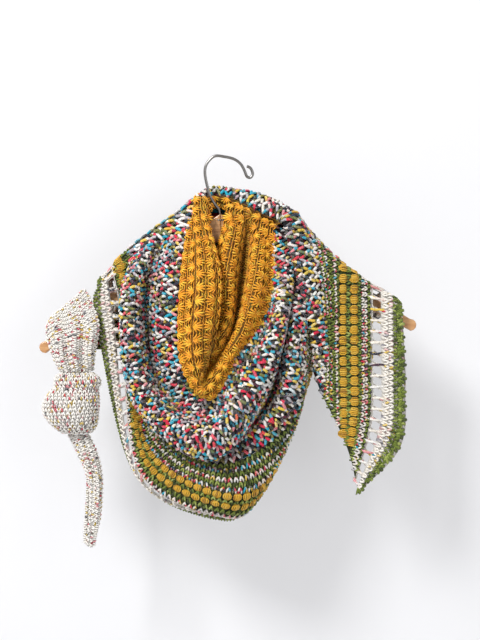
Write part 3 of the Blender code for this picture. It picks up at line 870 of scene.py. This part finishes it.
def yarn_material(name, shares, twist):
    """Soft plied yarn: colour by chance along the strand, with painted shade on the side of each strand
    that faces the cloth and in the front's creases.
    """
    made, work, shader = new_material("yarn_" + name)
    pale = name in PALE_YARNS
    strand = work.add("ShaderNodeGroup", None, node_tree=twist)
    work.feed(strand, {
        "Plies": PLIES, "Turns": TURNS, "Changes": CHANGES[name], "Deepest": 0.9 if pale else 0.26})
    mottle = work.ranged(work.noise(*MOTTLE), *MOTTLE_RANGE)
    # Random mottling times the painted light and shade of the strand.
    light = work.maths("MULTIPLY", mottle, strand.outputs["Lit"])
    work.feed(shader, {
        "Base Color": work.tinted(work.steps(shares, strand.outputs["Chance"]), light),
        "Normal": work.bumped(strand.outputs["Height"], 0.7, PLY_RELIEF),
        "Roughness": 0.5 if name in SHINY_YARNS else 0.78,
        "Sheen Weight": 0.25 if pale else 0.08,
        "Sheen Roughness": 0.5,
    })
    return made


def backing_material(name, shares):
    """The cloth between the loops: outside, a darker copy of its yarn that is painted shade between the
    loops; rows of stitches in relief inside, with painted shade in the hollows of the relief on both sides.
    """
    made, work, shader = new_material("cloth_" + name)
    maths = work.maths
    cell = work.add("ShaderNodeAttribute", attribute_name="cell").outputs["Vector"]
    cell = work.add("ShaderNodeSeparateXYZ", {0: cell}).outputs
    leaning = maths("ADD", cell["X"], maths("MULTIPLY", maths("PINGPONG", cell["Y"], 0.5), 0.6))
    legs = maths("ABSOLUTE", maths("SINE", maths("MULTIPLY", leaning, math.pi)))
    rows = maths("ABSOLUTE", maths("SINE", maths("MULTIPLY", cell["Y"], math.pi)))
    relief = maths("MULTIPLY", legs, rows)
    spot = work.add("ShaderNodeCombineXYZ", {
        "X": maths("FLOOR", maths("MULTIPLY", leaning, 1.5)),
        "Y": maths("FLOOR", cell["Y"]),
    })
    noise = work.add("ShaderNodeTexWhiteNoise", {"Vector": spot.outputs[0]}, noise_dimensions="2D")
    # Painted shade between the loops: the outer side made darker by the yarn's shade factor, the inner side
    # kept nearly full colour.
    painted_shade = work.ranged(cell["Z"], CLOTH_PAINTED_SHADES[name], 0.95)
    # Painted shade in the hollows of the stitch relief: darker where the relief is low.
    deep = work.ranged(relief, 0.75 if name in PALE_YARNS else 0.45, 1.1)
    colour = work.steps(shares, noise.outputs["Value"])
    work.feed(shader, {
        "Base Color": work.tinted(colour, maths("MULTIPLY", painted_shade, deep)),
        "Normal": work.bumped(relief, 1.0, ROW_RELIEF),
        "Roughness": 0.85,
    })
    return made


def wood_material(name, slope):
    """Oiled beech with its grain along the arm."""
    made, work, shader = new_material(name)
    where = work.add("ShaderNodeMapping", {
        "Vector": work.add("ShaderNodeTexCoord").outputs["Object"],
        "Rotation": (0.0, slope, 0.0),
        "Scale": (9.0, 120.0, 120.0),
    })
    grain = work.noise(2.2, 6.0, where.outputs["Vector"], 0.6)
    tones = work.add("ShaderNodeValToRGB", {"Fac": grain})
    for stop, (position, colour) in zip(tones.color_ramp.elements, (
        (0.30, (0.42, 0.19, 0.07, 1.0)),
        (0.72, (0.66, 0.38, 0.17, 1.0)),
    )):
        stop.position = position
        stop.color = colour
    work.feed(shader, {
        "Base Color": tones.outputs["Color"],
        "Normal": work.bumped(grain, 0.25, 0.0004),
        "Roughness": 0.42,
        "Coat Weight": 0.15,
    })
    return made


def steel_material():
    """Drawn steel wire, a little dulled."""
    made, work, shader = new_material("steel_wire")
    work.feed(shader, {
        "Roughness": work.ranged(work.noise(260.0, 4.0), 0.22, 0.42),
        "Base Color": (0.26, 0.25, 0.24, 1.0),
        "Metallic": 1.0,
    })
    return made


def band_backing(kit, name, drape, start, end, kind, yarn, along, across):
    """The backing sheet of a plain band, with its stitch cells for the material."""
    places, length = drape.stops(0.5 * (start + end), along)
    grid = drape.grid(np.linspace(start, end, across + 1), places)
    steps = np.linalg.norm(np.diff(grid, axis=0), axis=2)
    width = steps.sum(axis=0).max() / MM
    for edge, inner in ((0, 1), (-1, -2)):
        pull = np.clip(0.5 * SEAM * MM / np.maximum(steps[edge], 1e-6), 0.0, 0.4)[:, None]
        grid[edge] += (grid[inner] - grid[edge]) * pull
    pitch, height, _ = SIZES[kind]
    cells = cell_grid(
        np.linspace(0.0, width / height, across + 1), np.linspace(0.0, length / pitch, along + 1))
    return backing(name, grid, drape.face, cells, kit["cloths"][yarn])


def lace_backing(kit, name, drape, stops, pitch, hole):
    """The backing sheet of a band with a ladder row, its holes cut, and the places of its bars.

    stops are fold lines: the start, below the holes, above the holes, the edging and the end.
    """
    middle = 0.5 * (stops[1] + stops[2])
    _, length = drape.stops(middle, 1)
    count = int(length // pitch)
    fine, _ = drape.stops(middle, count * FINE_STEPS)
    share = int(round(FINE_STEPS * 0.5 * (1.0 - hole / pitch)))
    picks = [0]
    cuts = []
    for number in range(count):
        start = number * FINE_STEPS + share
        end = (number + 1) * FINE_STEPS - share
        cuts.append(len(picks))
        picks += [start, (start + end) // 2, end]
    picks.append(count * FINE_STEPS)
    lines = []
    for lower, upper in zip(stops, stops[1:]):
        lines += list(np.linspace(lower, upper, 3)[:-1])
    lines.append(stops[-1])
    grid = drape.grid(lines, fine[picks])
    cells = cell_grid(
        np.linspace(0.0, LACE_ROWS, len(lines)), np.array(picks) / FINE_STEPS * CELLS_IN_PITCH)
    holes = {(line, cut + side) for cut in cuts for side in (0, 1) for line in (2, 3)}
    made = backing(name, grid, drape.face, cells, kit["cloths"]["cream"], holes)
    bars = fine[[number * FINE_STEPS for number in range(count + 1)]]
    return made, bars


def bar_stitches(drape, bars, first, last, slant=0.0):
    """Twisted bars across the ladder row, at the places between its holes."""
    lines = np.array([first, 0.5 * (first + last), last])
    grid = drape.grid(lines, bars)
    ahead = drape.grid(lines, bars + 0.01)
    behind = drape.grid(lines, bars - 0.01)
    up = grid[2] - grid[0]
    length = np.linalg.norm(up, axis=1)
    along = unit(ahead[1] - behind[1])
    up = unit(unit(up) + slant * along)
    out = unit(np.cross(along, up)) * drape.face
    x_axis = unit(np.cross(up, out))
    size = np.column_stack([
        np.full(len(bars), SIZES["bar"][0] * MM), length * 1.1, np.full(len(bars), SIZES["bar"][2] * MM)])
    return grid[1], np.stack([x_axis, up, out], axis=-1), size, np.zeros(len(bars))


def plain_stretch(kit, node, seed, drape, ends, look, parts, wobble=WOBBLE):
    """A plain band: its backing, and stitches over its parts. look: kind, yarn, steps both ways."""
    cloth = band_backing(kit, node + "_cloth", drape, *ends, *look)
    rows = Crochet(kit, node, seed)
    for start, end, kind, yarns in parts:
        band = Band(drape, start, end)
        if kind == "border":
            border_rows(rows, band)
        else:
            rows.fill(band, kind, yarns)
    declare(cloth, node, rows.make(wobble))


def border_rows(rows, band):
    """Puffs, a green row and puffs again, over the whole band."""
    for kind, yarn, share, whole, shift in BORDER:
        rows.add(kind, yarn, band.row(share, kind, whole, 0, shift))


def front_drape(kit):
    """The bib of cowl folds: gold centre, mixed body, striped border and ladder edge."""
    drape = Drape(FRONT_ROWS, ARM_OUT, ARM_OUT, face=-1.0, creases=CREASES)
    seam, stripes, puffs, puffs_end, inner, end, rim, edge = [drape.line(name) for name in (
        "body seam", "stripe seam", "puffs start", "puffs end", "ladder start", "ladder end",
        "edging start", "edging")]
    plain_stretch(
        kit, "front_gold", 11, drape, (0.0, seam), ("star", "gold", 110, 44),
        ((0.0, seam, "star", ["gold"]), (0.0, seam, "chain", ["gold"])))
    plain_stretch(
        kit, "front_body", 12, drape, (seam, stripes), ("vee", "mixed", 110, 52),
        ((seam, stripes, "vee", ["mixed"]),), LOOSE_WOBBLE)
    plain_stretch(
        kit, "front_stripes", 13, drape, (stripes, inner), ("small", "green", 110, 26), (
            (stripes, puffs, "small", ["green", "mixed", "green", "flecked"]),
            (puffs, puffs_end, "border", None),
            (puffs_end, inner, "small", ["green", "flecked", "flecked"]),
        ))

    stops = [inner, inner + 0.14, end - 0.1, rim, edge]
    lace, bars = lace_backing(kit, "front_lace_cloth", drape, stops, LADDER_PITCH, LADDER_HOLE)
    rows = Crochet(kit, "front_lace", 14)
    rows.add("bar", "flecked", bar_stitches(drape, bars, inner, end))
    rows.add("chain", "cream", Band(drape, inner, stops[1]).row(0.5, "chain", 1.0, 0))
    rows.fill(Band(drape, end, rim), "small", ["cream"], rows=2)
    rows.fill(Band(drape, rim, edge), "small", ["green"], rows=2)
    declare(lace, "front_lace", rows.make())


def back_wrap(kit):
    """The stretch behind the neck, rolled over at the crown."""
    drape = Drape(WRAP_ROWS, -ARM_OUT, -ARM_OUT, face=1.0)
    seam, stripes, puffs_end, inner, rim, edge = [drape.line(name) for name in (
        "body seam", "stripe seam", "puffs end", "ladder start", "edging start", "edging")]
    puffs = puffs_end - 0.5
    plain_stretch(
        kit, "wrap_gold", 21, drape, (0.0, seam), ("star", "gold", 48, 10),
        ((0.0, seam, "star", ["gold"]),))
    plain_stretch(
        kit, "wrap_body", 22, drape, (seam, stripes), ("vee", "mixed", 60, 24),
        ((seam, stripes, "vee", ["mixed"]),), LOOSE_WOBBLE)
    plain_stretch(
        kit, "wrap_stripes", 23, drape, (stripes, inner), ("small", "green", 60, 18), (
            (stripes, puffs, "small", ["green", "mixed", "green", "flecked"]),
            (puffs, puffs_end, "border", None),
            (puffs_end, inner, "small", ["green", "flecked", "flecked"]),
        ))

    stops = [inner, inner + 0.1, inner + 0.5, rim, edge]
    lace, bars = lace_backing(kit, "wrap_lace_cloth", drape, stops, LADDER_PITCH, LADDER_HOLE)
    rows = Crochet(kit, "wrap_lace", 24)
    rows.add("bar", "flecked", bar_stitches(drape, bars, inner, inner + 0.55))
    rows.fill(Band(drape, stops[2], rim), "small", ["cream"])
    rows.add("scallop", "green", Band(drape, rim, edge).row(0.5, "scallop", 1.0, 0))
    declare(lace, "wrap_lace", rows.make())


def right_wing(kit):
    """The stretch that comes over the right shoulder and hangs in a point."""
    drape = Drape(WING_ROWS, WING_OUT, face=1.0)
    green, puffs, puffs_end, inner, end, rim, edge = [drape.line(name) for name in (
        "green start", "puffs start", "puffs end", "ladder start", "ladder end", "edging start",
        "edging")]
    plain_stretch(
        kit, "wing_body", 31, drape, (0.0, green), ("vee", "mixed", 48, 12),
        ((0.0, green, "vee", ["mixed"]),), LOOSE_WOBBLE)
    plain_stretch(
        kit, "wing_stripes", 32, drape, (green, inner), ("small", "green", 56, 22), (
            (green, puffs, "small", ["green", "flecked", "green", "mixed", "green"]),
            (puffs, puffs_end, "border", None),
            (puffs_end, inner, "small", ["green", "flecked", "flecked"]),
        ))

    stops = [inner, inner + 0.22, end - 0.22, rim, edge]
    lace, bars = lace_backing(kit, "wing_lace_cloth", drape, stops, WING_PITCH, WING_HOLE)
    rows = Crochet(kit, "wing_lace", 33)
    rows.add("bar", "flecked", bar_stitches(drape, bars, inner, end, slant=-0.35))
    rows.fill(Band(drape, end, rim), "small", ["cream"])
    band = Band(drape, rim, edge)
    rows.fill(band, "small", ["green"], end=0.7, rows=2)
    rows.add("scallop", "green", band.row(0.72, "scallop", 1.4, 0))
    declare(lace, "wing_lace", rows.make())


def under_layer(kit):
    """The stretch that runs from the right shoulder across the back to the tail."""
    drape = Drape(UNDER_ROWS, -ARM_OUT, face=1.0)
    ends = (0.0, drape.line("edging"))
    plain_stretch(
        kit, "under_layer", 41, drape, ends, ("small", "green", 70, 18),
        ((*ends, "small", ["mixed", "flecked", "green"]),))


def tail(kit):
    """The knotted tail: soft pleats above, the knot, and the folded end below."""
    for node, seed, table, along, across in (
        ("tail_upper", 51, TAIL_ROWS, 44, 40),
        ("tail_lower", 52, TAIL_END_ROWS, 40, 24),
    ):
        drape = Drape(table, face=1.0)
        ends = (0.0, drape.line("inner edge"))
        plain_stretch(
            kit, node, seed, drape, ends, ("small", "speckled", along, across),
            ((*ends, "fine", ["speckled"]),))
    knot(kit)


def knot(kit):
    """The knot: a rounded core with rows of stitches wound round it."""
    table = []
    for drop, wide, deep, across, out in KNOT_RINGS:
        turns = [-math.tau * side / KNOT_SIDES for side in range(KNOT_SIDES + 1)]
        table.append((f"{drop}", *(
            (across + wide * math.cos(turn), drop, out + deep * math.sin(turn)) for turn in turns)))
    core = Drape(table, face=-1.0)
    last = len(table) - 1.0
    lines = np.linspace(0.0, last, KNOT_STEPS + 1)
    grid = core.grid(lines, np.linspace(0.0, core.last, KNOT_CORNERS + 1))[:, :-1].reshape(-1, 3)
    cells = cell_grid(
        np.linspace(0.0, 15.0, KNOT_STEPS + 1), np.linspace(0.0, 26.0, KNOT_CORNERS + 1))
    cells = cells[:, :-1].reshape(-1, 2)
    corners = range(KNOT_CORNERS)
    faces = [tuple(corners), tuple(KNOT_STEPS * KNOT_CORNERS + corner for corner in corners)]
    for ring in range(KNOT_STEPS):
        here = ring * KNOT_CORNERS
        below = here + KNOT_CORNERS
        for corner in corners:
            after = (corner + 1) % KNOT_CORNERS
            faces.append((here + corner, here + after, below + after, below + corner))
    values = {"cell": np.column_stack([cells, np.zeros(len(cells))])}
    made = new_object(
        "knot_cloth", new_mesh("knot_cloth", grid, faces, values), kit["cloths"]["speckled"])
    wound = Crochet(kit, "knot", 53)
    wound.fill(Band(core, 0.3, last - 0.3), "fine", ["speckled"])
    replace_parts(made, "knot")
    for piece in [made] + wound.make(KNOT_WOBBLE):
        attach(piece, "root")


def declare(cloth, node, stitches):
    """Shows a stretch of cloth and its stitches in place of its node, on the root body."""
    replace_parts(cloth, node)
    for piece in [cloth] + stitches:
        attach(piece, "root")


def bent_wire(name, route, thick, smooth, material):
    """A round wire along a route of (across, drop, out) points, as a plain mesh."""
    data = bpy.data.curves.new(name, "CURVE")
    data.dimensions = "3D"
    data.bevel_depth = 0.5 * thick * MM
    data.bevel_resolution = smooth
    data.use_fill_caps = True
    path = data.splines.new("POLY")
    path.points.add(len(route) - 1)
    for point, (across, drop, out) in zip(path.points, route):
        point.co = (across * MM, -out * MM, -drop * MM, 1.0)
    carrier = new_object(name, data)
    graph = bpy.context.evaluated_depsgraph_get()
    real = bpy.data.meshes.new_from_object(carrier.evaluated_get(graph), depsgraph=graph)
    bpy.data.objects.remove(carrier, do_unlink=True)
    real.materials.clear()
    real.shade_smooth()
    made = new_object(name, real, material)
    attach(made, "root")
    return made


def hanger(frame):
    """Wood grain on the arms, the smooth wire hook and the wavy fastener at the centre seam."""
    for node, slope in (("hanger_left_arm", -0.56), ("hanger_right_arm", 0.56)):
        arm = frame["nodes"][node]
        arm.data.materials.clear()
        arm.data.materials.append(wood_material(node + "_beech", slope))
    steel = steel_material()
    last = len(HOOK_ROUTE) - 1
    weights = spline_weights(last + 1, np.linspace(0.0, last, 8 * last + 1))
    route = [(across, drop, 0.0) for across, drop in weights @ np.array(HOOK_ROUTE)]
    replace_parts(bent_wire("hook_wire", route, WIRE, 5, steel), "hook")
    steps = 24
    wave = [(-10.0 + 9.0 * step / steps, 73.0 - 0.8 * math.sin(1.05 * step), 6.1)
            for step in range(steps + 1)]
    bent_wire("seam_fastener", wave, FASTENER, 4, steel)


def plain_stage():
    """Pale floor and wall, soft light and the camera of the photograph."""
    pale, work, shader = new_material("pale_plaster")
    work.feed(shader, {
        "Base Color": (0.52, 0.52, 0.53, 1.0),
        "Roughness": 0.9,
        "Emission Color": (0.93, 0.93, 0.95, 1.0),
        "Emission Strength": 0.33,
    })
    either = work.add("ShaderNodeMixShader", {
        "Fac": work.add("ShaderNodeNewGeometry").outputs["Backfacing"],
        1: shader.outputs[0],
        2: work.add("ShaderNodeBsdfTransparent").outputs[0],
    })
    work.feed(pale.node_tree.nodes["Material Output"], {"Surface": either.outputs[0]})
    side, floor, wall, top = 3.0, -0.95, 0.13, 1.6
    for name, corners in (
        ("floor", [(-side, -side, floor), (side, -side, floor), (side, side, floor), (-side, side, floor)]),
        ("wall", [(-side, wall, floor), (side, wall, floor), (side, wall, top), (-side, wall, top)]),
    ):
        data = bpy.data.meshes.new(name)
        data.from_pydata(corners, [], [(0, 1, 2, 3)])
        new_object(name, data, pale)

    scene = bpy.context.scene
    world = bpy.data.worlds.new("soft_room")
    world.use_nodes = True
    Nodes(world.node_tree).feed(
        world.node_tree.nodes["Background"], {"Color": (1.0, 1.0, 1.0, 1.0), "Strength": 0.36})
    scene.world = world
    aim = Vector((0.0, 0.0, -0.2))
    for name, spot, size, power in (
        ("window", (-1.25, -1.75, 1.45), 0.8, 74.0),
        ("fill", (1.5, -2.2, 0.2), 1.6, 16.0),
        ("back_fill", (0.6, 1.9, 0.9), 1.6, 22.0),
    ):
        data = bpy.data.lights.new(name, "AREA")
        data.size = size
        data.energy = power
        lamp = new_object(name, data)
        lamp.location = spot
        lamp.rotation_euler = (aim - Vector(spot)).to_track_quat("-Z", "Y").to_euler()

    away = 1.8
    data = bpy.data.cameras.new("camera")
    data.sensor_fit = "VERTICAL"
    data.sensor_height = 36.0
    data.lens = data.sensor_height * away / 0.751
    camera = new_object("camera", data)
    camera.location = (0.017, -away, -0.190)
    camera.rotation_euler = (math.radians(90.0), 0.0, 0.0)
    scene.camera = camera
    scene.view_settings.view_transform = "Standard"
    scene.view_settings.look = "None"


def main():
    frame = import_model()
    tree, sockets = stitch_tree()
    twist = twist_group()
    kit = {
        "tree": tree,
        "sockets": sockets,
        "shapes": stitch_shapes(),
        "yarns": {name: yarn_material(name, shares, twist) for name, shares in YARNS.items()},
        "cloths": {name: backing_material(name, shares) for name, shares in YARNS.items()},
    }
    hanger(frame)
    front_drape(kit)
    back_wrap(kit)
    right_wing(kit)
    under_layer(kit)
    tail(kit)
    for shape in kit["shapes"].values():
        bpy.data.objects.remove(shape, do_unlink=True)
    plain_stage()


main()
